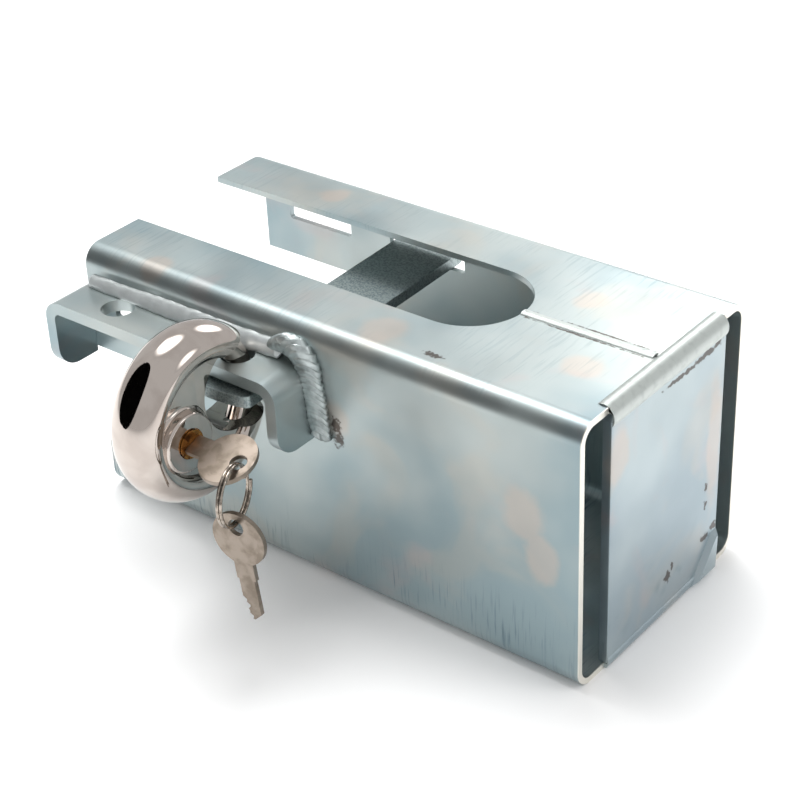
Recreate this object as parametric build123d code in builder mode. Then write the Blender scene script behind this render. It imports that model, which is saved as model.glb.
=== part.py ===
# Trailer coupler lock: folded box, guard bracket, locking bar and disc padlock.
# Millimetres. The origin is the middle of the box underside, +X runs towards the
# closed end, -Y is the padlock side, +Z is up.
import os
from math import cos, sin, radians
from build123d import *

os.makedirs("parts", exist_ok=True)

# box
length = 234
width = 108.5
height = 112
sheet = 2.5
bend = 8
seam_gap = 1.2
seam_half = 2.2
seam_rise = 0.9

# open-topped slot for the coupling head
slot_half = 23.5
slot_centre = 149.5          # round end, measured from the open end

# bar slots and side notches, measured from the open end
bar_slots = ((14, 48), (69, 107.5))
slot_low = 85.1
slot_high = 92.1
slot_corner = 1.2
notch_depth = 58
notch_low = 22
notch_high = 67.8
notch_corner = 5

# end plate
plate_width = 76
plate_shift = 0.5
plate_thick = 4
plate_proud = 1.5

# guard bracket, flat bar bent down at both ends
guard_start = -4.5
guard_length = 120
guard_wide = 20
guard_thick = 5
guard_top = 96.8
guard_low = 65.5
guard_bend = 8
tab_corner = 10
hole_bore = 13.5
hole_y = -63
holes_x = (25.5, 88)

# locking bar
bar_wide = 30
bar_thick = 5
bar_low = slot_low + 0.05
bar_turn = 1.6               # degrees it sits askew in its wide slots
bar_x = 88.9                 # from the open end, at the padlock
bar_y = -62.3
bar_near = 14.3              # straight side past the hole towards the padlock
bar_far = 122
bar_bulge = 2.2
bar_corner = 2.5

# disc padlock
lock_x = 88
lock_y = -90
lock_z = 86
lock_tilt = 14
lock_radius = 34.5
lock_half = 11
rim_depth = 8
recess = 22.2                # foot of the rounded slope inside the rim
slope_radius = 4.4
slope_arc = 68
recess_level = 7.5
shell = 1.6
mouth_centre = 19
mouth_radius = 18
shackle_path = 28
shackle_radius = 4.6
shackle_from = -50
shackle_to = 74
shackle_fit = 0.15
channel_from = 58
channel_sweep = 100
channel_wall = 1.0
plug_shift = -13
dome_radius = 11.3           # inner wall plus the shell; the foot flares out to dome_foot
dome_foot = 13.4
dome_top = 12
plug_hole = 5.9

# cylinder and key
pin_lean = 18                # degrees below the horizontal
plug_radius = 4.4
housing_radius = 7
pin_rows = (3.6, 1.3, -1.0, -3.3)
key_roots = (2.0, 0.9, 1.6, 0.4)
key_bow_x = 118
key_tip = 34.6
bow_wide = 11.5
bow_long = 10.8
bow_hole = 3.25
bow_hole_at = 5
key_thick = 2.0

# split ring
ring_radius = 11.2
ring_wire = 0.62
ring_pitch = 1.33

left = -length / 2


# ---------------------------------------------------------------- box
with BuildPart() as box_body:
    with BuildSketch(Plane.YZ.offset(left)):
        with Locations((0, height / 2)):
            RectangleRounded(width, height, bend)
            RectangleRounded(width - 2 * sheet, height - 2 * sheet, bend - sheet, mode=Mode.SUBTRACT)
    extrude(amount=length)
    # slot with a round end in the top, open at the left
    with BuildSketch(Plane.XY.offset(height + 1)):
        with Locations((left + slot_centre / 2 - 1, 0)):
            Rectangle(slot_centre + 2, 2 * slot_half)
        with Locations((left + slot_centre, 0)):
            Circle(slot_half)
    extrude(amount=-(sheet + 2), mode=Mode.SUBTRACT)
    # gap of the folded seam, filled by the weld
    with BuildSketch(Plane.XY.offset(height + 1)):
        with Locations((left + (slot_centre + length) / 2, 0)):
            Rectangle(length - slot_centre + 2, seam_gap)
    extrude(amount=-(sheet + 2), mode=Mode.SUBTRACT)
    # bar slots and open notches through both walls
    with BuildSketch(Plane.XZ.offset(width / 2 + 1)):
        for a, b in bar_slots:
            with Locations((left + (a + b) / 2, (slot_low + slot_high) / 2)):
                RectangleRounded(b - a, slot_high - slot_low, slot_corner)
        with Locations((left + notch_depth / 2 - 5, (notch_low + notch_high) / 2)):
            RectangleRounded(notch_depth + 10, notch_high - notch_low, notch_corner)
    extrude(amount=-(width + 2), mode=Mode.SUBTRACT)

with BuildPart() as seam_weld:
    with BuildSketch(Plane.YZ.offset(left + slot_centre + slot_half)):
        with BuildLine():
            ThreePointArc((-seam_half, height), (0, height + seam_rise), (seam_half, height))
            Line((seam_half, height), (-seam_half, height))
        make_face()
        with Locations((0, height - sheet / 2)):
            Rectangle(seam_gap, sheet)
    extrude(amount=length - slot_centre - slot_half - 5)

# ---------------------------------------------------------------- end plate
plate_out = length + plate_proud
with BuildPart() as end_plate:
    with BuildSketch(Plane.YZ.offset(left + plate_out - plate_thick)) as s:
        with Locations((plate_shift, height / 2)):
            Rectangle(plate_width, height - 2 * sheet)
        chamfer(s.vertices().group_by(Axis.Y)[-1], 3)
    extrude(amount=plate_thick)

# the bead rounds the top edge of the box over on to the plate
with BuildPart() as end_plate_top_weld:
    with BuildSketch(Plane.XZ.offset(plate_width / 2 - plate_shift)):
        with BuildLine():
            Polyline((left + length - 4.5, height), (left + length, height), (left + length, height - sheet),
                     (left + plate_out, height - sheet), (left + plate_out, height - 7.5))
            ThreePointArc((left + plate_out, height - 7.5), (left + plate_out + 0.9, height - 4.6),
                          (left + plate_out + 0.1, height - 1.6))
            ThreePointArc((left + plate_out + 0.1, height - 1.6), (left + length - 1.2, height + 0.5),
                          (left + length - 4.5, height))
        make_face()
    extrude(amount=-plate_width)

with BuildPart() as end_plate_bottom_weld:
    with BuildSketch(Plane.XZ.offset(plate_width / 2 - plate_shift)):
        with BuildLine():
            Polyline((left + plate_out, 5), (left + plate_out, sheet), (left + length, sheet),
                     (left + length, 0.4), (left + plate_out - 0.5, 0.5))
            ThreePointArc((left + plate_out - 0.5, 0.5), (left + plate_out + 0.4, 2.2), (left + plate_out, 5))
        make_face()
    extrude(amount=-plate_width)
    # heavier deposit that closes the far lower corner of the plate
    with BuildSketch(Plane.YZ.offset(left + plate_out)):
        with BuildLine():
            Polyline((20, 1.2), (37.5, 1.2), (38.4, 19), (34.5, 19), (20, 1.2))
        make_face()
    extrude(amount=2.2, taper=40)

# ---------------------------------------------------------------- guard bracket
guard_mid = left + guard_start + guard_length / 2
with BuildPart() as guard_bracket:
    with BuildSketch(Plane.XZ.offset(width / 2)) as s:
        with Locations((guard_mid, (guard_top + guard_low) / 2)):
            Rectangle(guard_length, guard_top - guard_low)
        fillet(s.vertices().group_by(Axis.Y)[-1], guard_bend)
        with BuildSketch(mode=Mode.PRIVATE) as inner:
            with Locations((guard_mid, (guard_top + guard_low - guard_thick) / 2 - 10)):
                Rectangle(guard_length - 2 * guard_thick, guard_top - guard_low - guard_thick + 20)
            fillet(inner.vertices().group_by(Axis.Y)[-1], guard_bend - guard_thick)
        add(inner.sketch, mode=Mode.SUBTRACT)
    extrude(amount=guard_wide)
    tab_corners = guard_bracket.edges().filter_by(Axis.X).group_by(Axis.Z)[0].group_by(Axis.Y)[0]
    fillet(tab_corners, tab_corner)
    for x in holes_x:
        with Locations((left + x, hole_y, guard_top)):
            Cylinder(hole_bore / 2, 20, mode=Mode.SUBTRACT)

with BuildPart() as guard_long_weld:
    with BuildSketch(Plane.YZ.offset(left + 2)):
        with BuildLine():
            Line((-width / 2, guard_top + 5.4), (-width / 2, guard_top))
            Line((-width / 2, guard_top), (-width / 2 - 3, guard_top))
            ThreePointArc((-width / 2 - 3, guard_top), (-width / 2 - 2, guard_top + 3.1), (-width / 2, guard_top + 5.4))
        make_face()
    extrude(amount=guard_start + guard_length - guard_bend - 6)
    # the bead stops short of the holes
    for x in holes_x:
        with Locations((left + x, hole_y, guard_top)):
            Cylinder(hole_bore / 2 + 0.7, 20, mode=Mode.SUBTRACT)

# bead round the bent-down end, from the top of the bracket to the foot of the tab
tab_x = left + guard_start + guard_length
with BuildPart() as guard_tab_weld:
    with BuildSketch(Plane.XZ.offset(width / 2)):
        with BuildLine():
            Polyline((tab_x - 12, guard_top), (tab_x - 12, guard_top + 7), (tab_x - 6, guard_top + 10),
                     (tab_x + 1, guard_top + 7.5), (tab_x + 5.5, guard_top), (tab_x + 7.5, guard_top - 14),
                     (tab_x + 8, guard_low), (tab_x, guard_low - 0.6), (tab_x - 10, guard_top - 15),
                     (tab_x - 12, guard_top))
        make_face()
    extrude(amount=6)
    fillet(guard_tab_weld.faces().sort_by(Axis.Y)[0].edges(), 2.2)
    # the bracket itself is taken out of the bead
    with BuildSketch(Plane.XZ.offset(width / 2 - 1)) as s:
        with Locations((guard_mid, (guard_top + guard_low) / 2 - 10)):
            Rectangle(guard_length, guard_top - guard_low + 20)
        fillet(s.vertices().group_by(Axis.Y)[-1], guard_bend)
    extrude(amount=20, mode=Mode.SUBTRACT)
    with Locations((tab_x - 13.5, -width / 2 - 1.5, guard_top + 2.7)):
        Box(6, 6, 6, mode=Mode.SUBTRACT)

# ---------------------------------------------------------------- locking bar
bar_plane = Plane(origin=(left + bar_x, bar_y, bar_low),
                  x_dir=(cos(radians(bar_turn)), sin(radians(bar_turn)), 0), z_dir=(0, 0, 1))
with BuildPart() as locking_bar:
    with BuildSketch(bar_plane):
        half = bar_wide / 2
        with BuildLine():
            Line((-half, -bar_near), (-half, bar_far))
            ThreePointArc((-half, bar_far), (0, bar_far + bar_bulge), (half, bar_far))
            Line((half, bar_far), (half, -bar_near))
            ThreePointArc((half, -bar_near), (0, -bar_near - bar_bulge), (-half, -bar_near))
        make_face()
    extrude(amount=bar_thick)
    fillet(locking_bar.edges().filter_by(Axis.Z), bar_corner)
    with Locations((left + bar_x, bar_y, bar_low)):
        Cylinder(hole_bore / 2, 20, mode=Mode.SUBTRACT)

# ---------------------------------------------------------------- padlock case
tilt = radians(lock_tilt)
centre = Vector(left + lock_x, lock_y, lock_z)
to_mouth = Vector(0, cos(tilt), sin(tilt))
face = Plane(origin=centre, x_dir=to_mouth, z_dir=(1, 0, 0))
section = Plane(origin=centre, x_dir=to_mouth, z_dir=(0, sin(tilt), -cos(tilt)))
disc_axis = Axis(centre, (1, 0, 0))


def mouth_shape(extra):
    with Locations((mouth_centre, 0)):
        Circle(mouth_radius + extra)
    with Locations((mouth_centre + 20, 0)):
        Rectangle(40, 2 * (mouth_radius + extra))


rim_start = lock_radius - rim_depth
with BuildPart() as cavity:
    with BuildSketch(section):
        with BuildLine():
            Line((0, -lock_half + shell), (rim_start, -lock_half + shell))
            EllipticalCenterArc((rim_start, 0), rim_depth - shell, lock_half - shell, start_angle=-90, arc_size=180)
            Polyline((rim_start, lock_half - shell), (rim_start - 1.5, lock_half - shell - 0.7),
                     (recess + shell + 0.2, recess_level - 0.3), (recess + shell + 0.2, recess_level - shell),
                     (0, recess_level - shell), (0, -lock_half + shell))
        make_face()
    revolve(axis=disc_axis)
    with BuildSketch(face.offset(-20)):
        mouth_shape(shell)
    extrude(amount=40, mode=Mode.SUBTRACT)

with BuildPart() as case:
    with BuildSketch(section):
        with BuildLine():
            Line((0, -lock_half), (rim_start, -lock_half))
            EllipticalCenterArc((rim_start, 0), rim_depth, lock_half, start_angle=-90, arc_size=180)
            slope = CenterArc((rim_start, lock_half - slope_radius), slope_radius, 90, slope_arc)
            Polyline(slope @ 1, (recess, recess_level), (0, recess_level), (0, -lock_half))
        make_face()
    revolve(axis=disc_axis)
    with BuildSketch(face.offset(-20)):
        mouth_shape(0)
    extrude(amount=40, mode=Mode.SUBTRACT)
    add(cavity.part, mode=Mode.SUBTRACT)
    with Locations(face):
        Torus(shackle_path, shackle_radius + shackle_fit, mode=Mode.SUBTRACT)

plug_at = centre + to_mouth * plug_shift
plug_axis = Axis(plug_at, (1, 0, 0))
plug_section = Plane(origin=plug_at, x_dir=to_mouth, z_dir=(0, sin(tilt), -cos(tilt)))
with BuildPart() as padlock_front_shell:
    add(case.part)
    split(bisect_by=face, keep=Keep.TOP)
    with Locations(Plane(origin=plug_at, z_dir=(1, 0, 0))):
        Cylinder(dome_radius - shell, 20, align=(Align.CENTER, Align.CENTER, Align.MIN), mode=Mode.SUBTRACT)
    # raised dome round the key cylinder
    with BuildSketch(plug_section):
        with BuildLine():
            inside = dome_radius - shell
            Line((dome_foot, recess_level - shell), (dome_foot, recess_level))
            ThreePointArc((dome_foot, recess_level), (dome_foot - 1.1, recess_level + 0.6), (dome_foot - 1.5, recess_level + 1.8))
            Line((dome_foot - 1.5, recess_level + 1.8), (dome_radius + 0.3, dome_top - 1.2))
            ThreePointArc((dome_radius + 0.3, dome_top - 1.2), (dome_radius, dome_top - 0.35), (dome_radius - 0.9, dome_top))
            Polyline((dome_radius - 0.9, dome_top), (plug_hole, dome_top), (plug_hole, dome_top - shell),
                     (inside - 1, dome_top - shell), (inside, dome_top - shell - 1), (inside, recess_level - shell),
                     (dome_foot, recess_level - shell))
        make_face()
    revolve(axis=plug_axis)
    with BuildSketch(face.offset(-20)):
        mouth_shape(0)
    extrude(amount=40, mode=Mode.SUBTRACT)

with BuildPart() as padlock_rear_shell:
    add(case.part)
    split(bisect_by=face, keep=Keep.BOTTOM)

# ---------------------------------------------------------------- shackle and its channel
def across_arc(degrees):
    # section plane of the shackle's circular path, at an angle up from the mouth
    turn = tilt + radians(degrees)
    out = Vector(0, cos(turn), sin(turn))
    return Plane(origin=centre + out * shackle_path, x_dir=out, z_dir=(0, sin(turn), -cos(turn)))


with BuildPart() as shackle:
    with BuildSketch(across_arc(shackle_from)):
        Circle(shackle_radius)
    revolve(axis=disc_axis, revolution_arc=shackle_to - shackle_from)

with BuildPart() as shackle_channel:
    with BuildSketch(across_arc(channel_from)):
        Circle(shackle_radius + channel_wall)
        Circle(shackle_radius + shackle_fit, mode=Mode.SUBTRACT)
    revolve(axis=disc_axis, revolution_arc=channel_sweep)
    add(cavity.part, mode=Mode.INTERSECT)

# ---------------------------------------------------------------- core and key cylinder
lean = radians(pin_lean)
pin_dir = Vector(0, -cos(lean), -sin(lean))
plug_plane = Plane(origin=plug_at, x_dir=pin_dir, z_dir=(1, 0, 0))
housing_back = -5.2
housing_front = dome_top - shell
block_half = 2.6
block_reach = 12.6

with BuildPart() as padlock_core:
    with BuildSketch(face.offset(-lock_half + shell + 0.1)):
        Circle(shackle_path - shackle_radius - channel_wall - 0.05)
        with Locations((mouth_centre, 0)):
            Circle(mouth_radius + shell + 0.05, mode=Mode.SUBTRACT)
    extrude(amount=lock_half - shell - 0.1 + recess_level - shell - 0.05)
    with BuildSketch(plug_plane.offset(-lock_half + shell + 0.1)):
        with Locations((block_reach / 2 + 0.3, 0)):
            Rectangle(block_reach, 2 * block_half + 3)
    extrude(amount=lock_half - shell - 0.1 + recess_level - shell - 0.05)
    with Locations(plug_plane):
        Cylinder(housing_radius, 40, mode=Mode.SUBTRACT)
    with BuildSketch(plug_plane.offset(housing_back)):
        with Locations((block_reach / 2, 0)):
            Rectangle(block_reach, 2 * block_half)
    extrude(amount=20, mode=Mode.SUBTRACT)
    for v in (-15, 15):
        with Locations(face * Pos(-6, v, 0)):
            Cylinder(2, 40, mode=Mode.SUBTRACT)

rivet_mid = (recess_level - shell - lock_half + shell) / 2
with BuildPart() as padlock_rivets:
    for v in (-15, 15):
        with Locations(face * Pos(-6, v, rivet_mid)):
            Cylinder(2, lock_half - shell + recess_level - shell)

with BuildPart() as cylinder_housing:
    with BuildSketch(plug_plane.offset(housing_back)):
        Circle(housing_radius)
    extrude(amount=housing_front - housing_back)
    with BuildSketch(plug_plane.offset(housing_back)):
        with Locations((block_reach / 2, 0)):
            Rectangle(block_reach, 2 * block_half)
    extrude(amount=recess_level - shell - 0.1 - housing_back)
    with Locations(plug_plane):
        Cylinder(plug_radius + 0.05, 60, mode=Mode.SUBTRACT)
    for w in pin_rows:
        with Locations(Plane(origin=plug_at + Vector(1, 0, 0) * w, z_dir=pin_dir)):
            Cylinder(1.1, block_reach - 1, align=(Align.CENTER, Align.CENTER, Align.MIN), mode=Mode.SUBTRACT)
    # groove for the strip that closes the chambers
    with BuildSketch(plug_plane.offset(housing_back)):
        with Locations((block_reach - 0.5, 0)):
            Rectangle(1, 3.2)
    extrude(amount=20, mode=Mode.SUBTRACT)

with BuildPart() as chamber_strip:
    with BuildSketch(plug_plane.offset(housing_back)):
        with Locations((block_reach - 0.5, 0)):
            Rectangle(1, 3.2)
    extrude(amount=recess_level - shell - 0.1 - housing_back)

plug_back = -lock_half + shell + 0.25
with BuildPart() as cylinder_plug:
    with BuildSketch(plug_plane.offset(housing_back - 1.2)):
        Circle(plug_radius)
    extrude(amount=housing_front - housing_back + 1.2 + 0.1)
    with BuildSketch(plug_plane.offset(housing_front + 0.1)):
        Circle(5.6)
    extrude(amount=dome_top + 0.8 - housing_front - 0.1)
    with BuildSketch(plug_plane.offset(plug_back)):
        Rectangle(4.6, 4.6)
    extrude(amount=housing_back - 1.2 - plug_back)
    # clip groove
    with BuildSketch(plug_plane.offset(housing_back - 0.95)):
        Circle(6)
        Circle(3.7, mode=Mode.SUBTRACT)
    extrude(amount=0.8, mode=Mode.SUBTRACT)
    # keyway
    with BuildSketch(plug_plane.offset(key_bow_x - key_tip - lock_x - 0.2)):
        Rectangle(7.2, key_thick + 0.16)
    extrude(amount=30, mode=Mode.SUBTRACT)
    for w in pin_rows:
        with Locations(Plane(origin=plug_at + Vector(1, 0, 0) * w, z_dir=pin_dir)):
            Cylinder(1.06, 8, align=(Align.CENTER, Align.CENTER, Align.MIN), mode=Mode.SUBTRACT)

with BuildPart() as plug_clip:
    with BuildSketch(plug_plane.offset(housing_back - 0.9)):
        Circle(6.2)
        Circle(3.75, mode=Mode.SUBTRACT)
        with Locations((-5, 0)):
            Rectangle(5, 3.4, mode=Mode.SUBTRACT)
    extrude(amount=0.7)

with BuildPart() as drive_cam:
    with BuildSketch(plug_plane.offset(plug_back)):
        Circle(5)
        with Locations((0, 3.6)):
            RectangleRounded(4, 5.6, 1)
        Rectangle(4.62, 4.62, mode=Mode.SUBTRACT)
    extrude(amount=housing_back - 1.3 - plug_back)

with BuildPart() as key_pins:
    for w, root in zip(pin_rows, key_roots):
        with Locations(Plane(origin=plug_at + Vector(1, 0, 0) * w + pin_dir * root, z_dir=pin_dir)):
            Cone(0.4, 1.0, 0.7, align=(Align.CENTER, Align.CENTER, Align.MIN))
        with Locations(Plane(origin=plug_at + Vector(1, 0, 0) * w + pin_dir * (root + 0.7), z_dir=pin_dir)):
            Cylinder(1.0, 4.15 - root - 0.7, align=(Align.CENTER, Align.CENTER, Align.MIN))

with BuildPart() as driver_pins:
    for w in pin_rows:
        with Locations(Plane(origin=plug_at + Vector(1, 0, 0) * w + pin_dir * (plug_radius + 0.1), z_dir=pin_dir)):
            Cylinder(1.0, 3.2, align=(Align.CENTER, Align.CENTER, Align.MIN))

with BuildPart() as pin_springs:
    for w in pin_rows:
        seat = plug_at + Vector(1, 0, 0) * w + pin_dir * (plug_radius + 3.5)
        with BuildLine():
            coil = Helix(pitch=0.75, height=3.2, radius=0.78, center=seat, direction=pin_dir)
        with BuildSketch(Plane(origin=coil @ 0, z_dir=coil % 0)):
            Circle(0.15)
        sweep()


# ---------------------------------------------------------------- keys and ring
def key_blank(plane):
    # drawn with the blade along +x, the cuts on +y, the bow centred on the origin
    shoulder = key_bow_x - lock_x - dome_top - 0.8
    with BuildPart() as key:
        with BuildSketch(plane):
            Ellipse(bow_long, bow_wide)
            with Locations((shoulder / 2 + 3.5, 0)):
                Rectangle(shoulder - 7, 8.6)
            with Locations((shoulder / 2 + key_tip / 2, 0)):
                Rectangle(key_tip - shoulder, 7)
            with Locations((-bow_hole_at, 0)):
                Circle(bow_hole, mode=Mode.SUBTRACT)
            for w, root in zip(pin_rows, key_roots):
                x = key_bow_x - lock_x - w
                with BuildLine(mode=Mode.PRIVATE) as cut:
                    Polyline((x - 0.45, root - 0.02), (x + 0.45, root - 0.02), (x + 3.5, root + 4), (x - 3.5, root + 4),
                             (x - 0.45, root - 0.02))
                add(make_face(cut.edges(), mode=Mode.PRIVATE), mode=Mode.SUBTRACT)
            with BuildLine(mode=Mode.PRIVATE) as tip:
                Polyline((key_tip + 1, -4), (key_tip + 1, 4), (key_tip - 2, 4), (key_tip, 0), (key_tip - 3, -4), (key_tip + 1, -4))
            add(make_face(tip.edges(), mode=Mode.PRIVATE), mode=Mode.SUBTRACT)
        extrude(amount=key_thick / 2, both=True)
    return key


bow_centre = plug_at + Vector(1, 0, 0) * (key_bow_x - lock_x)
key_in_lock = key_blank(Plane(origin=bow_centre, x_dir=(-1, 0, 0), z_dir=(0, pin_dir.Z, -pin_dir.Y)))

ring_turn = radians(106)
ring_flat = Vector(cos(ring_turn), sin(ring_turn), 0)
ring_normal = ring_flat.cross(Vector(0, 0, 1)).normalized()
threaded = bow_centre + Vector(1, 0, 0) * bow_hole_at
down = radians(57)
ring_centre = threaded - ring_flat * (ring_radius * cos(down)) - Vector(0, 0, 1) * (ring_radius * sin(down))
with BuildPart() as split_ring:
    with BuildLine():
        coil = Helix(pitch=ring_pitch, height=2 * ring_pitch, radius=ring_radius,
                     center=ring_centre - ring_normal * ring_pitch, direction=ring_normal)
    with BuildSketch(Plane(origin=coil @ 0, z_dir=coil % 0)):
        Circle(ring_wire)
    sweep()

hang = radians(7)
spare_across = Vector(cos(radians(5)), sin(radians(5)), 0)
spare_down = (spare_across * sin(hang) - Vector(0, 0, 1) * cos(hang)).normalized()
spare_cuts = (spare_across * cos(hang) + Vector(0, 0, 1) * sin(hang)) * -1
ring_low = ring_centre - Vector(0, 0, 1) * ring_radius
spare_centre = ring_low + spare_down * (2.0 + bow_hole_at)
spare_key = key_blank(Plane(origin=spare_centre, x_dir=spare_down, z_dir=spare_down.cross(spare_cuts)))

# ---------------------------------------------------------------- files
pieces = {
    "box_body": box_body.part,
    "seam_weld": seam_weld.part,
    "end_plate": end_plate.part,
    "end_plate_top_weld": end_plate_top_weld.part,
    "end_plate_bottom_weld": end_plate_bottom_weld.part,
    "guard_bracket": guard_bracket.part,
    "guard_long_weld": guard_long_weld.part,
    "guard_tab_weld": guard_tab_weld.part,
    "locking_bar": locking_bar.part,
    "padlock_front_shell": padlock_front_shell.part,
    "padlock_rear_shell": padlock_rear_shell.part,
    "padlock_core": padlock_core.part,
    "padlock_rivets": padlock_rivets.part,
    "shackle": shackle.part,
    "shackle_channel": shackle_channel.part,
    "cylinder_housing": cylinder_housing.part,
    "chamber_strip": chamber_strip.part,
    "cylinder_plug": cylinder_plug.part,
    "plug_clip": plug_clip.part,
    "drive_cam": drive_cam.part,
    "key_pins": key_pins.part,
    "driver_pins": driver_pins.part,
    "pin_springs": pin_springs.part,
    "key_in_lock": key_in_lock.part,
    "split_ring": split_ring.part,
    "spare_key": spare_key.part,
}
for name, piece in pieces.items():
    piece.label = name
    export_step(piece, f"parts/{name}.step")
    print(name, len(piece.solids()), round(piece.volume, 1))
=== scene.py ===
import math

import bmesh
import bpy
from mathutils import Matrix, Quaternion, Vector, noise


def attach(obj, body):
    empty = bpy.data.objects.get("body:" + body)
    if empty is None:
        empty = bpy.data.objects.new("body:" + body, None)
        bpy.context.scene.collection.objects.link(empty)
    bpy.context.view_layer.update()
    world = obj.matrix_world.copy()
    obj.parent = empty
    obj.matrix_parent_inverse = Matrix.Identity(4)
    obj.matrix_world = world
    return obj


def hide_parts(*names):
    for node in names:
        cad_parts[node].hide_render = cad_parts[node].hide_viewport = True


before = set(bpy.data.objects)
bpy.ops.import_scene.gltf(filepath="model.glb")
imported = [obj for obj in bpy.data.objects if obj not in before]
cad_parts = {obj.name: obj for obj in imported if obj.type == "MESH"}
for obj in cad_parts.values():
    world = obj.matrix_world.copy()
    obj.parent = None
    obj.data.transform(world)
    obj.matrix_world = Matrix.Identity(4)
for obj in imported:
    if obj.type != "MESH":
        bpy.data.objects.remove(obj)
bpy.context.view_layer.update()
mm = 0.001
noise.seed_set(11)  # without a seed the lumps in the weld beads would start from the clock
print("frame loaded")


def linearColour(hexText):  # sRGB hex to the linear values that Blender mixes in
    parts = [int(hexText[i:i + 2], 16) / 255 for i in (1, 3, 5)]
    return [c / 12.92 if c <= 0.04045 else ((c + 0.055) / 1.055) ** 2.4 for c in parts] + [1.0]


def addNode(tree, kind, settings=None, inputs=None):
    node = tree.nodes.new(kind)
    for name, value in (settings or {}).items():
        setattr(node, name, value)
    for name, value in (inputs or {}).items():
        if isinstance(value, bpy.types.NodeSocket):
            tree.links.new(value, node.inputs[name])
        else:
            node.inputs[name].default_value = value
    return node


def startMaterial(name, metallic, roughness):
    mat = bpy.data.materials.new(name)
    mat.use_nodes = True
    shader = mat.node_tree.nodes["Principled BSDF"]
    shader.inputs["Metallic"].default_value = metallic
    shader.inputs["Roughness"].default_value = roughness
    coords = addNode(mat.node_tree, "ShaderNodeTexCoord").outputs["Object"]
    return mat, mat.node_tree, shader, coords


# noise with features of a given size in mm, stretched by (x, y, z) in mm, cut between two levels to 0..1
def noiseMask(tree, coords, size, low, high, detail=3.0, shift=(0, 0, 0), distortion=0.0):
    size = size if isinstance(size, tuple) else (size, size, size)
    scaled = addNode(tree, "ShaderNodeMapping", {}, {
        "Vector": coords, "Scale": [1 / (s * mm) for s in size], "Location": shift})
    cloud = addNode(tree, "ShaderNodeTexNoise", {}, {
        "Vector": scaled.outputs[0], "Scale": 1.0, "Detail": detail, "Distortion": distortion})
    cut = addNode(tree, "ShaderNodeMapRange", {"interpolation_type": "SMOOTHSTEP"}, {
        "Value": cloud.outputs[0], "From Min": low, "From Max": high})
    return cut.outputs[0]


# lays one colour over another where a mask says, at no more than a given share
def tint(tree, mask, share, under, hexText):
    amount = addNode(tree, "ShaderNodeMath", {"operation": "MULTIPLY", "use_clamp": True}, {0: mask, 1: share})
    mixed = addNode(tree, "ShaderNodeMix", {"data_type": "RGBA"}, {
        0: amount.outputs[0], 6: under, 7: linearColour(hexText)})
    return mixed.outputs[2]


# soft patches with ragged edges: [(x, y, z, radius) or (x, y, z, x radius, y radius, z radius) in mm, ...]
def patchMask(tree, coords, patches, ragged=0.7, grain=5.0):
    wobble = addNode(tree, "ShaderNodeTexNoise", {}, {"Vector": coords, "Scale": 1 / (grain * mm), "Detail": 4.0})
    total = None
    for patch in patches:
        place, radii = patch[:3], patch[3:] if len(patch) == 6 else patch[3:] * 3
        moved = addNode(tree, "ShaderNodeVectorMath", {"operation": "SUBTRACT"}, {
            0: coords, 1: [p * mm for p in place]}).outputs[0]
        away = addNode(tree, "ShaderNodeVectorMath", {"operation": "MULTIPLY"}, {
            0: moved, 1: [1 / (r * mm) for r in radii]}).outputs[0]
        away = addNode(tree, "ShaderNodeVectorMath", {"operation": "LENGTH"}, {0: away}).outputs["Value"]
        rough = addNode(tree, "ShaderNodeMath", {"operation": "MULTIPLY_ADD"}, {
            0: wobble.outputs[0], 1: 2 * ragged, 2: away})
        inside = addNode(tree, "ShaderNodeMapRange", {"interpolation_type": "SMOOTHSTEP"}, {
            "Value": rough.outputs[0], "From Min": 1.0 + ragged, "From Max": 0.5 + ragged})
        if total is None:
            total = inside
        else:
            total = addNode(tree, "ShaderNodeMath", {"operation": "MAXIMUM", "use_clamp": True}, {
                0: total.outputs[0], 1: inside.outputs[0]})
    return total.outputs[0]


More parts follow.
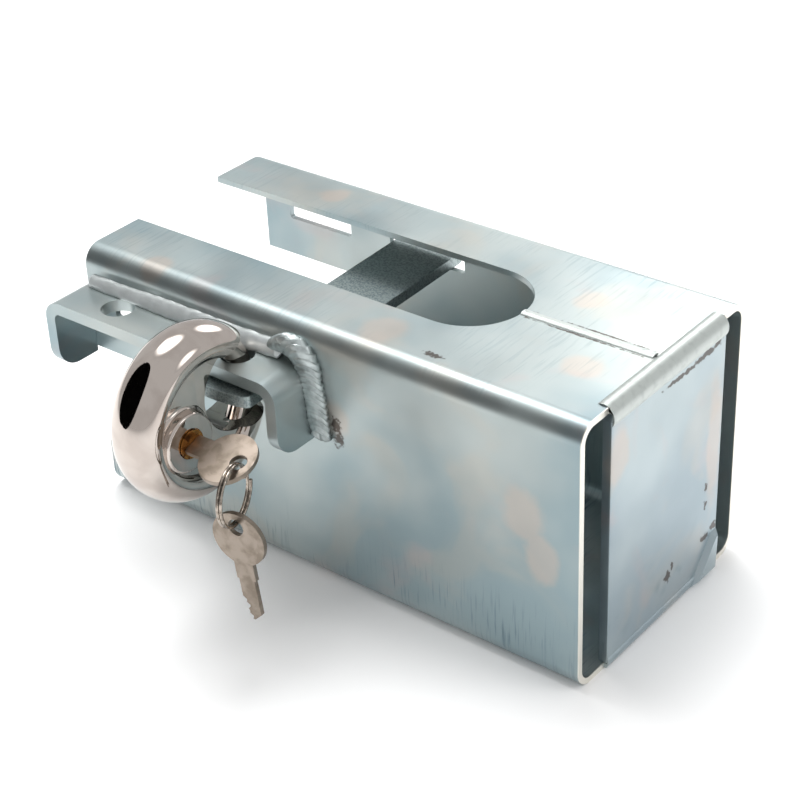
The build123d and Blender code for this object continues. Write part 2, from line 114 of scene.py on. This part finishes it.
# Cold-rolled mild steel, zinc electroplated and blue passivated: a pale blue-grey satin metal with faint straw
# and pink bloom, and fine drawn streaks round the box. The passive film is dull, so it is not wholly metallic.
zincSheet = {
    "base": "#AFB8B7", "cool": "#8FA1A6", "straw": "#C6B8A6", "pink": "#BDA9A6",
    # the cut ends of the sheet get a near-white colour: partly their bright bare metal, partly a painted highlight
    "streak": "#6E838C", "burn": "#3E3028", "scald": "#C4B2A4", "rim": "#F2EDE2",
    "cloudSize": 70, "bloomSize": 42, "streakWidth": 1.1, "streakLength": 18, "streakArea": 55,
    "grainSize": 1.4, "smudgeSize": 26,
    "strawShare": 0.22, "pinkShare": 0.26, "scaldShare": 0.45, "burnShare": 0.85, "streakShare": 0.75, "rimShare": 0.85,
    "metal": 0.84, "roughness": (0.30, 0.42), "streakRoughness": 0.22, "streakDepth": -0.2,
    "bumpStrength": 0.06, "bumpDepth": 0.05,
    "foot": (34, 14), "crown": (108, 111), "crownShare": 0.28,  # heights between which the streaks fade in
    "sawn": (116.5, 116.9),
    "bloomPatches": [
        (94, -20, 112, 10), (22, -39, 112, 12), (-83, -49, 112, 9), (-64, 37, 112, 8), (71, 21, 112, 8),
        (94, -54, 68, 13), (101, -54, 54, 9, 9, 14), (9, -54, 78, 9),
        (118.5, -33, 92, 5, 8, 16), (118.5, 33, 60, 5, 6, 30)],
    "burnPatches": [
        (9.5, -54, 75, 3, 3, 4), (10.5, -54, 69, 3, 3, 4), (47, -43, 112, 5, 1.8, 2),  # by the bracket, on the top
        (118.5, 8, 102.4, 2, 14, 1.2), (118.5, 25, 103, 2, 10, 1.8), (118.5, 33, 104.4, 2, 3, 2.2),  # under the crown
        (118.5, 3, 17.0, 2, 3, 3), (118.5, 6, 20, 2, 1.2, 2.6),
        (118.5, 30, 19.5, 2, 4, 1.8), (118.5, 36, 21.5, 2, 3, 2),  # along the foot of the end plate
        (118.5, 29, 35, 2, 1.4, 2.4), (118.5, 29, 43, 2, 1.3, 2.2),
        (84, -2.8, 112, 26, 0.6, 1), (90, 2.8, 112, 22, 0.5, 1), (59, 0, 112, 3, 3, 1)],  # both sides of the seam
}


def passivatedZinc(name, s, bloom=1.0, burn=True, streaks=1.0, rim=False):
    mat, tree, shader, coords = startMaterial(name, s["metal"], s["roughness"][0])
    place = addNode(tree, "ShaderNodeSeparateXYZ", {}, {0: coords}).outputs
    clouds = noiseMask(tree, coords, s["cloudSize"], 0.35, 0.65)
    straw = noiseMask(tree, coords, s["bloomSize"], 0.54, 0.70, shift=(3.1, 1.7, 0.4), distortion=0.8)
    pink = noiseMask(tree, coords, s["bloomSize"] * 0.8, 0.57, 0.72, shift=(7.7, 4.2, 9.0), distortion=0.6)
    colour = tint(tree, clouds, 1.0, linearColour(s["base"]), s["cool"])
    colour = tint(tree, straw, s["strawShare"] * bloom, colour, s["straw"])
    colour = tint(tree, pink, s["pinkShare"] * bloom, colour, s["pink"])
    if burn:
        scalded = patchMask(tree, coords, s["bloomPatches"], ragged=0.6, grain=16)
        colour = tint(tree, scalded, s["scaldShare"], colour, s["scald"])

    # streaks run round the box, so they are short along it and long across and down it
    streak = noiseMask(tree, coords, (s["streakWidth"], s["streakLength"], s["streakLength"]), 0.52, 0.68, detail=2.0)
    where = noiseMask(tree, coords, s["streakArea"], 0.42, 0.60, shift=(2.2, 5.5, 1.1))
    foot, crown = [addNode(tree, "ShaderNodeMapRange", {}, {
        "Value": place[2], "From Min": ends[0] * mm, "From Max": ends[1] * mm}) for ends in (s["foot"], s["crown"])]
    edges = addNode(tree, "ShaderNodeMath", {"operation": "MULTIPLY_ADD", "use_clamp": True}, {
        0: crown.outputs[0], 1: s["crownShare"], 2: foot.outputs[0]})
    for limit in (where, edges.outputs[0]):
        streak = addNode(tree, "ShaderNodeMath", {"operation": "MULTIPLY"}, {0: streak, 1: limit}).outputs[0]
    colour = tint(tree, streak, s["streakShare"] * streaks, colour, s["streak"])
    if burn:
        scorched = patchMask(tree, coords, s["burnPatches"], ragged=1.1, grain=2.0)
        colour = tint(tree, scorched, s["burnShare"], colour, s["burn"])
    if rim:  # sawn ends of the sheet, bright under the zinc, and painted near white besides as a painted highlight along the rim
        sawn = addNode(tree, "ShaderNodeMapRange", {}, {
            "Value": place[0], "From Min": s["sawn"][0] * mm, "From Max": s["sawn"][1] * mm})
        colour = tint(tree, sawn.outputs[0], s["rimShare"], colour, s["rim"])
    tree.links.new(colour, shader.inputs["Base Color"])

    smudge = addNode(tree, "ShaderNodeTexNoise", {}, {
        "Vector": coords, "Scale": 1 / (s["smudgeSize"] * mm), "Detail": 5.0})
    smooth = addNode(tree, "ShaderNodeMapRange", {}, {
        "Value": smudge.outputs[0], "From Min": 0.35, "From Max": 0.65,
        "To Min": s["roughness"][0], "To Max": s["roughness"][1]})
    rough = addNode(tree, "ShaderNodeMath", {"operation": "MULTIPLY_ADD", "use_clamp": True}, {
        0: streak, 1: s["streakRoughness"], 2: smooth.outputs[0]})
    tree.links.new(rough.outputs[0], shader.inputs["Roughness"])

    grain = addNode(tree, "ShaderNodeTexNoise", {}, {
        "Vector": coords, "Scale": 1 / (s["grainSize"] * mm), "Detail": 3.0})
    relief = addNode(tree, "ShaderNodeMath", {"operation": "MULTIPLY_ADD"}, {
        0: streak, 1: s["streakDepth"], 2: grain.outputs[0]})
    bump = addNode(tree, "ShaderNodeBump", {}, {
        "Strength": s["bumpStrength"], "Distance": s["bumpDepth"] * mm, "Height": relief.outputs[0]})
    tree.links.new(bump.outputs[0], shader.inputs["Normal"])
    return mat


# Arc weld metal under the same zinc: duller than the sheet, rough between the ripples, with soot at the toes.
weldMetal = {
    "base": "#BDC6C6", "dark": "#6E7778", "soot": "#2C241F", "metal": 0.8, "roughness": 0.36,
    "pitSize": 1.6, "sootSize": 9, "shadeSize": 3.52, "shadeShare": 0.6, "sootShare": 0.35,
    "bumpStrength": 0.35, "bumpDepth": 0.2,
}
# the long bead is painted pale and made half metallic: a painted highlight for the bright band along the fillet
highlightBead = dict(weldMetal, metal=0.55, base="#D9DFDF", dark="#A9B2B3", shadeShare=0.25, sootShare=0.0)
dressedWeld = dict(weldMetal, base="#BCC2BF", roughness=0.42, shadeShare=0.25, sootShare=0.0)


def platedWeld(name, s):
    mat, tree, shader, coords = startMaterial(name, s["metal"], s["roughness"])
    shade = noiseMask(tree, coords, s["shadeSize"], 0.45, 0.80)
    colour = tint(tree, shade, s["shadeShare"], linearColour(s["base"]), s["dark"])
    soot = noiseMask(tree, coords, s["sootSize"], 0.62, 0.72, detail=5.0)
    colour = tint(tree, soot, s["sootShare"], colour, s["soot"])
    tree.links.new(colour, shader.inputs["Base Color"])
    pits = addNode(tree, "ShaderNodeTexNoise", {}, {
        "Vector": coords, "Scale": 1 / (s["pitSize"] * mm), "Detail": 4.0})
    bump = addNode(tree, "ShaderNodeBump", {}, {
        "Strength": s["bumpStrength"], "Distance": s["bumpDepth"] * mm, "Height": pits.outputs[0]})
    tree.links.new(bump.outputs[0], shader.inputs["Normal"])
    return mat


# Hot-rolled flat bar, shot blasted before plating: an even sandy grain that scatters the light.
blastedBar = {
    "base": "#AAB5B5", "dark": "#7C898B", "shotSize": 0.8, "roughness": 0.5, "speckShare": 0.75,
    "bumpStrength": 0.5, "bumpDepth": 0.25,
}


def shotBlastedZinc(s):
    mat, tree, shader, coords = startMaterial("shot blasted zinc plated bar", 1.0, s["roughness"])
    speck = noiseMask(tree, coords, s["shotSize"], 0.42, 0.62, detail=2.0)
    colour = tint(tree, speck, s["speckShare"], linearColour(s["base"]), s["dark"])
    tree.links.new(colour, shader.inputs["Base Color"])
    shot = addNode(tree, "ShaderNodeTexNoise", {}, {
        "Vector": coords, "Scale": 1 / (s["shotSize"] * mm), "Detail": 2.0})
    bump = addNode(tree, "ShaderNodeBump", {}, {
        "Strength": s["bumpStrength"], "Distance": s["bumpDepth"] * mm, "Height": shot.outputs[0]})
    tree.links.new(bump.outputs[0], shader.inputs["Normal"])
    return mat


# Stainless steel, pressed and mirror polished: nearly clean reflections, a little warm. That warm pink tint is a
# painted reflection of a warm room, laid on the steel's own grey.
warmRoomStainless = {"base": "#C6BDB6", "smear": "#B9AFA8", "smearSize": 14, "roughness": (0.03, 0.07)}


def polishedMetal(name, s):
    mat, tree, shader, coords = startMaterial(name, 1.0, s["roughness"][0])
    smear = noiseMask(tree, coords, s["smearSize"], 0.40, 0.66, detail=4.0, distortion=0.4)
    colour = tint(tree, smear, 1.0, linearColour(s["base"]), s["smear"])
    tree.links.new(colour, shader.inputs["Base Color"])
    rough = addNode(tree, "ShaderNodeMapRange", {}, {
        "Value": smear, "To Min": s["roughness"][0], "To Max": s["roughness"][1]})
    tree.links.new(rough.outputs[0], shader.inputs["Roughness"])
    return mat


# Turned free-cutting brass: brown in the hollows of its tool marks. Nickel plated key blanks: dulled by pockets,
# so their glare is broad. Bright spring wire: sharp thin glints. Die-cast zinc: an even dark grey satin.
turnedBrass = {"base": "#A9743A", "smear": "#5E3B1C", "smearSize": 2.4, "roughness": (0.22, 0.40)}
keyNickel = {"base": "#9A8F84", "smear": "#877C70", "smearSize": 5, "roughness": (0.38, 0.48)}
springWire = {"base": "#B5ABA0", "smear": "#7D746B", "smearSize": 2, "roughness": (0.14, 0.3)}
dieCast = {"base": "#8F9192", "smear": "#77797B", "smearSize": 5, "roughness": (0.4, 0.6)}

sheetZinc = passivatedZinc("passivated zinc sheet", zincSheet, rim=True)
plateZinc = passivatedZinc("passivated zinc plate", dict(zincSheet, base="#AEBABD", cool="#9AA8AF"))
barZinc = passivatedZinc("passivated zinc flat bar", zincSheet, bloom=0.5, burn=False, streaks=0.5)
weldZinc = platedWeld("plated weld metal", weldMetal)
highlightBeadZinc = platedWeld("plated weld bead, painted highlight", highlightBead)
crownZinc = platedWeld("plated weld, dressed smooth", dressedWeld)
barBlasted = shotBlastedZinc(blastedBar)
caseSteel = polishedMetal("mirror polished stainless, warm reflection painted in", warmRoomStainless)
plugBrass = polishedMetal("turned brass", turnedBrass)
keyPlate = polishedMetal("worn nickel plate", keyNickel)
wireSteel = polishedMetal("bright spring steel", springWire)
castZinc = polishedMetal("die cast zinc", dieCast)
print("materials made")


def dress(obj, mat):
    obj.data.materials.clear()
    obj.data.materials.append(mat)


nodeFinish = {
    "box_body": sheetZinc, "end_plate": plateZinc, "guard_bracket": barZinc, "locking_bar": barBlasted,
    "seam_weld": crownZinc, "end_plate_top_weld": crownZinc, "end_plate_bottom_weld": plateZinc,
    "guard_long_weld": highlightBeadZinc, "guard_tab_weld": weldZinc,
    "padlock_front_shell": caseSteel, "padlock_rear_shell": caseSteel, "shackle": caseSteel,
    "padlock_core": castZinc, "padlock_rivets": wireSteel, "shackle_channel": wireSteel,
    "cylinder_housing": plugBrass, "chamber_strip": plugBrass, "cylinder_plug": plugBrass,
    "plug_clip": wireSteel, "drive_cam": wireSteel, "key_pins": plugBrass, "driver_pins": plugBrass,
    "pin_springs": wireSteel, "key_in_lock": keyPlate, "split_ring": wireSteel, "spare_key": keyPlate,
}
for nodeName, finish in nodeFinish.items():
    dress(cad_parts[nodeName], finish)


# corner normals weighted by face area, so that a large flat face stays flat where a bend runs into it
def weighNormals(mesh, sharp):
    least = math.cos(math.radians(sharp))
    faces = [(face.normal.copy(), face.area, list(face.vertices)) for face in mesh.polygons]
    meeting = [[] for v in mesh.vertices]
    for normal, area, corners in faces:
        for v in corners:
            meeting[v].append((normal, area))
    normals = []
    for normal, area, corners in faces:
        for v in corners:
            total = sum((other * size for other, size in meeting[v] if other.dot(normal) > least), Vector())
            normals.append(total.normalized())
    mesh.normals_split_custom_set(normals)


def finishPiece(name, bm, mat, body, sharp=32, weighed=False):
    mesh = bpy.data.meshes.new(name)
    bm.to_mesh(mesh)
    bm.free()
    mesh.shade_smooth()
    mesh.set_sharp_from_angle(angle=math.radians(sharp))
    if weighed:
        weighNormals(mesh, sharp)
    obj = bpy.data.objects.new(name, mesh)
    bpy.context.collection.objects.link(obj)
    dress(obj, mat)
    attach(obj, body)
    return obj


rounding = {"mergeGap": 0.002, "flatAngle": 0.3, "sharpAngle": 38, "segments": 2}  # mm and degrees


# a merged copy of a CAD node with its sharp edges rounded over
def roundedCopy(nodeName, pieceName, body, radius):
    bm = bmesh.new()
    bm.from_mesh(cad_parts[nodeName].data)
    bmesh.ops.remove_doubles(bm, verts=bm.verts, dist=rounding["mergeGap"] * mm)
    bmesh.ops.dissolve_limit(bm, angle_limit=math.radians(rounding["flatAngle"]), verts=bm.verts, edges=bm.edges)
    sharp = math.radians(rounding["sharpAngle"])
    edges = [e for e in bm.edges if len(e.link_faces) == 2 and e.calc_face_angle() > sharp]
    bmesh.ops.bevel(bm, geom=edges, offset=radius * mm, offset_type="OFFSET", segments=rounding["segments"],
                    profile=0.5, affect="EDGES", material=-1, clamp_overlap=True)
    bmesh.ops.recalc_face_normals(bm, faces=bm.faces)
    piece = finishPiece(pieceName, bm, nodeFinish[nodeName], body, weighed=True)
    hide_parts(nodeName)
    return piece


roundings = {  # piece, body, slot, edge radius in mm
    "box_body": ("boxSheet", "box", "zinc_sheet", 0.35),
    "end_plate": ("endPlate", "box", "zinc_sheet", 0.5),
    "guard_bracket": ("guardBar", "box", "zinc_bar", 0.7),
    "locking_bar": ("lockingBar", "bar", "blasted_bar", 0.7),
    "cylinder_plug": ("keyPlug", "plug", "brass", 0.15),
    "seam_weld": ("seamRidge", "box", "zinc_weld", 0.1),
    "end_plate_bottom_weld": ("plateFoot", "box", "zinc_weld", 1.5),
    "end_plate_top_weld": ("plateCrown", "box", "zinc_weld", 0.4),
    "key_in_lock": ("keyInLock", "plug", "nickel_key", 0.38),
    "spare_key": ("spareKey", "loose_key", "nickel_key", 0.38),
}
for nodeName, (pieceName, body, slotName, radius) in roundings.items():
    piece = roundedCopy(nodeName, pieceName, body, radius)
    print("rounded", pieceName, len(piece.data.polygons))


# how a hand lays a bead: how sharply a ripple falls, how the ends grow, and how far the hand wanders
hand = {
    "fall": 1.6, "endStart": 0.25, "endGrowth": 3.0, "wanderRate": 0.23, "wanderWide": 0.12, "wanderHigh": 0.2,
    "crescent": 1.2, "lumpSize": 2.4,
}


# A bead laid along a path of (x, y, z, width, height) stations in mm, its flat side kept towards "into".
# Each step of the arc leaves a crescent ridge, so the bead is swept as many small rings that swell and lean.
def layBead(name, s, mat, replaced):
    stations = [Vector(p[:3]) * mm for p in s["path"]]
    widths = [p[3] for p in s["path"]]
    heights = [p[4] for p in s["path"]]
    lengths = [0.0]
    for i in range(1, len(stations)):
        lengths.append(lengths[-1] + (stations[i] - stations[i - 1]).length)
    steps = max(8, int(lengths[-1] / (s["step"] * mm)))
    out = Vector(s["out"]).normalized()

    def along(t):
        d = min(max(t, 0.0), 1.0) * lengths[-1]
        k = next((i for i in range(1, len(lengths)) if d <= lengths[i] + 1e-9), len(lengths) - 1)
        f = (d - lengths[k - 1]) / (lengths[k] - lengths[k - 1])
        before = stations[max(k - 2, 0)]
        after = stations[min(k + 1, len(stations) - 1)]
        a, b = stations[k - 1], stations[k]
        spot = 0.5 * ((2 * a) + (b - before) * f + (2 * before - 5 * a + 4 * b - after) * f * f
                      + (3 * a - before - 3 * b + after) * f ** 3)
        return spot, widths[k - 1] * (1 - f) + widths[k] * f, heights[k - 1] * (1 - f) + heights[k] * f

    def frameAt(i):
        t = i / steps
        spot, wide, high = along(t)
        ahead = (along(t + 0.01)[0] - along(t - 0.01)[0]).normalized()
        side = out.cross(ahead).normalized()
        up = ahead.cross(side).normalized()
        d = t * lengths[-1] / mm
        phase = (d / s["ripple"]) % 1.0
        swell = 1 + s["depth"] * (1 - phase) ** hand["fall"]
        near = hand["endGrowth"] * t * lengths[-1] / (wide * mm) + hand["endStart"]
        far = hand["endGrowth"] * (1 - t) * lengths[-1] / (wide * mm) + hand["endStart"]
        ends = min(1.0, near, far)
        wander = noise.noise(Vector((d * hand["wanderRate"], s["seed"], 0.0)))
        turn = Matrix((side, up, ahead)).transposed().to_4x4()
        size = Matrix.Diagonal((wide * 0.5 * swell * ends * (1 + hand["wanderWide"] * wander),
                                high * swell * ends * (1 + hand["wanderHigh"] * wander), 1, 1))
        return Matrix.Translation(spot) @ turn @ size

    bm = bmesh.new()
    bmesh.ops.create_circle(bm, cap_ends=False, radius=1.0 * mm, segments=s["around"])
    ring = list(bm.verts)
    for v in ring:  # crescent: the crown of each ripple trails behind its edges
        v.co.z = -s["lean"] * mm * max(0.0, v.co.y / mm) ** hand["crescent"]
    bmesh.ops.transform(bm, matrix=frameAt(0), verts=ring)
    edges = list(bm.edges)
    bmesh.ops.holes_fill(bm, edges=edges)
    for i in range(1, steps + 1):
        made = bmesh.ops.extrude_edge_only(bm, edges=edges)["geom"]
        ring = [g for g in made if isinstance(g, bmesh.types.BMVert)]
        edges = [g for g in made if isinstance(g, bmesh.types.BMEdge)
                 and all(v in ring for v in g.verts)]
        bmesh.ops.transform(bm, matrix=frameAt(i) @ frameAt(i - 1).inverted(), verts=ring)
    bmesh.ops.holes_fill(bm, edges=edges)
    bmesh.ops.recalc_face_normals(bm, faces=bm.faces)
    for v in bm.verts:
        shove = noise.noise_vector(v.co / (hand["lumpSize"] * mm) + Vector((s["seed"], 0, 0)))
        v.co += shove * s["rough"] * mm
    piece = finishPiece(name, bm, mat, "box", sharp=180)
    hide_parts(replaced)
    print("laid", name, len(piece.data.polygons))


# bead down the bent end of the bracket, woven wide with deep chevrons
tabBead = {
    "path": [(-15.5, -55.6, 102.6, 4.5, 1.6), (-10.0, -55.8, 104.2, 8.0, 3.2), (-4.5, -56.2, 102.8, 9.5, 3.6),
             (-0.9, -56.4, 98.2, 9.6, 3.4), (0.6, -56.2, 91.0, 9.2, 3.0), (1.8, -56.0, 82.0, 8.8, 2.7),
             (2.8, -55.8, 73.0, 8.6, 2.5), (3.5, -55.6, 66.2, 7.6, 2.2)],
    "out": (0, -1, 0), "step": 0.28, "around": 28,
    "ripple": 2.5, "depth": 0.16, "lean": 4.6, "rough": 0.16, "seed": 3.1,
}
layBead("tabBead", tabBead, weldZinc, "guard_tab_weld")

# long fillet behind the bracket, hot and flat, with faint ripples
longBead = {
    "path": [(-113.5, -55.4, 99.0, 6.0, 1.5), (-95, -55.3, 99.2, 6.2, 1.5), (-70, -55.5, 99.6, 7.4, 1.6),
             (-45, -55.5, 99.6, 7.4, 1.6), (-25, -55.6, 99.8, 7.8, 1.8), (-13, -55.6, 100.4, 8.0, 2.2)],
    "out": (0, -0.78, 0.62), "step": 0.5, "around": 18,
    "ripple": 2.6, "depth": 0.006, "lean": 1.0, "rough": 0.05, "seed": 8.4,
}
layBead("longBead", longBead, highlightBeadZinc, "guard_long_weld")

# photo studio: white sweep, soft boxes with glowing cloths, a dark panel that only reflections see, and the camera
studio = {
    "floor": "#FFFFFF", "floorSize": 12, "felt": "#050505", "world": (0.70, 0.70, 0.70),
    "softBoxes": [  # place, size, power, glow seen in the metal
        ((-0.42, 1.48, 0.98), (1.15, 0.95), 8, 8.0), ((-0.60, 0.25, 1.45), (1.1, 1.1), 22, 9.0),
        ((1.4, 0.5, 1.1), (0.8, 0.8), 6, 3.0)],
    "darkPanels": [((-0.47, -0.61, 0.44), (0.95, 1.05))],
    "clothSpread": 1.5, "clothEdge": 0.62, "clothHeart": 0.15, "panelCorners": 48,
    "aim": (0.0, -0.02, 0.06),
    "cameraAt": (0.41152, -0.50466, 0.45746), "cameraAim": (0.012826, -0.020465, 0.069696),
    "cameraRoll": -2.653, "lens": 87.26, "sensor": 36, "clipStart": 0.01,
}


def plainPanel(name, width, depth, mat, corners=4):
    bm = bmesh.new()
    bmesh.ops.create_circle(bm, cap_ends=True, radius=0.5, segments=corners)
    bmesh.ops.scale(bm, vec=(width, depth, 1), verts=bm.verts)
    mesh = bpy.data.meshes.new(name)
    bm.to_mesh(mesh)
    bm.free()
    panel = bpy.data.objects.new(name, mesh)
    bpy.context.collection.objects.link(panel)
    dress(panel, mat)
    return panel


def plainPaint(name, hexText):
    paint, _, shader, _ = startMaterial(name, 0.0, 0.9)
    shader.inputs["Base Color"].default_value = linearColour(hexText)
    shader.inputs["Specular IOR Level"].default_value = 0.0
    return paint


def glowPaint(name, strength):  # bright in the middle and fading out, so that no hard edge shows in the steel
    mat, tree, shader, coords = startMaterial(name, 0.0, 1.0)
    out = addNode(tree, "ShaderNodeVectorMath", {"operation": "LENGTH"}, {0: coords}).outputs["Value"]
    fade = addNode(tree, "ShaderNodeMapRange", {"interpolation_type": "SMOOTHSTEP"}, {
        "Value": out, "From Min": studio["clothEdge"], "From Max": studio["clothHeart"]})
    shader.inputs["Base Color"].default_value = (0, 0, 0, 1)
    shader.inputs["Specular IOR Level"].default_value = 0.0
    shader.inputs["Emission Color"].default_value = (1, 1, 1, 1)
    lit = addNode(tree, "ShaderNodeMath", {"operation": "MULTIPLY"}, {0: fade.outputs[0], 1: strength})
    tree.links.new(lit.outputs[0], shader.inputs["Emission Strength"])
    tree.links.new(fade.outputs[0], shader.inputs["Alpha"])
    return mat


def pointAt(obj, place, aim, axis):
    obj.location = place
    obj.rotation_mode = "QUATERNION"
    obj.rotation_quaternion = (Vector(aim) - Vector(place)).to_track_quat(axis, "Y")


def hangPanel(name, place, size, mat):  # seen by reflections alone
    panel = plainPanel(name, size[0], size[1], mat, studio["panelCorners"])
    pointAt(panel, place, studio["aim"], "Z")
    panel.visible_camera = panel.visible_diffuse = panel.visible_shadow = False


def buildStudio(s):
    world = bpy.data.worlds.new("studio air")
    bpy.context.scene.world = world
    world.use_nodes = True
    world.node_tree.nodes["Background"].inputs["Color"].default_value = (*s["world"], 1)
    plainPanel("floor", s["floorSize"], s["floorSize"], plainPaint("white paper sweep", s["floor"]))
    felt = plainPaint("black felt", s["felt"])
    for i, (place, size) in enumerate(s["darkPanels"]):
        hangPanel("darkPanel%d" % i, place, size, felt)
    for i, (place, size, power, glow) in enumerate(s["softBoxes"]):
        light = bpy.data.lights.new("softBox%d" % i, "AREA")
        light.shape = "RECTANGLE"
        light.size, light.size_y = size
        light.energy = power
        lamp = bpy.data.objects.new("softBox%d" % i, light)
        pointAt(lamp, place, s["aim"], "-Z")
        lamp.visible_glossy = False
        bpy.context.collection.objects.link(lamp)
        spread = [side * s["clothSpread"] for side in size]
        hangPanel("glow%d" % i, place, spread, glowPaint("softBoxCloth%d" % i, glow))
    camera = bpy.data.cameras.new("camera")
    camera.lens = s["lens"]
    camera.sensor_width = s["sensor"]
    camera.clip_start = s["clipStart"]
    eye = bpy.data.objects.new("camera", camera)
    pointAt(eye, s["cameraAt"], s["cameraAim"], "-Z")
    eye.rotation_quaternion = eye.rotation_quaternion @ Quaternion((0, 0, 1), math.radians(s["cameraRoll"]))
    bpy.context.collection.objects.link(eye)
    bpy.context.scene.camera = eye
    bpy.context.scene.view_settings.view_transform = "Standard"


buildStudio(studio)
print("studio built")
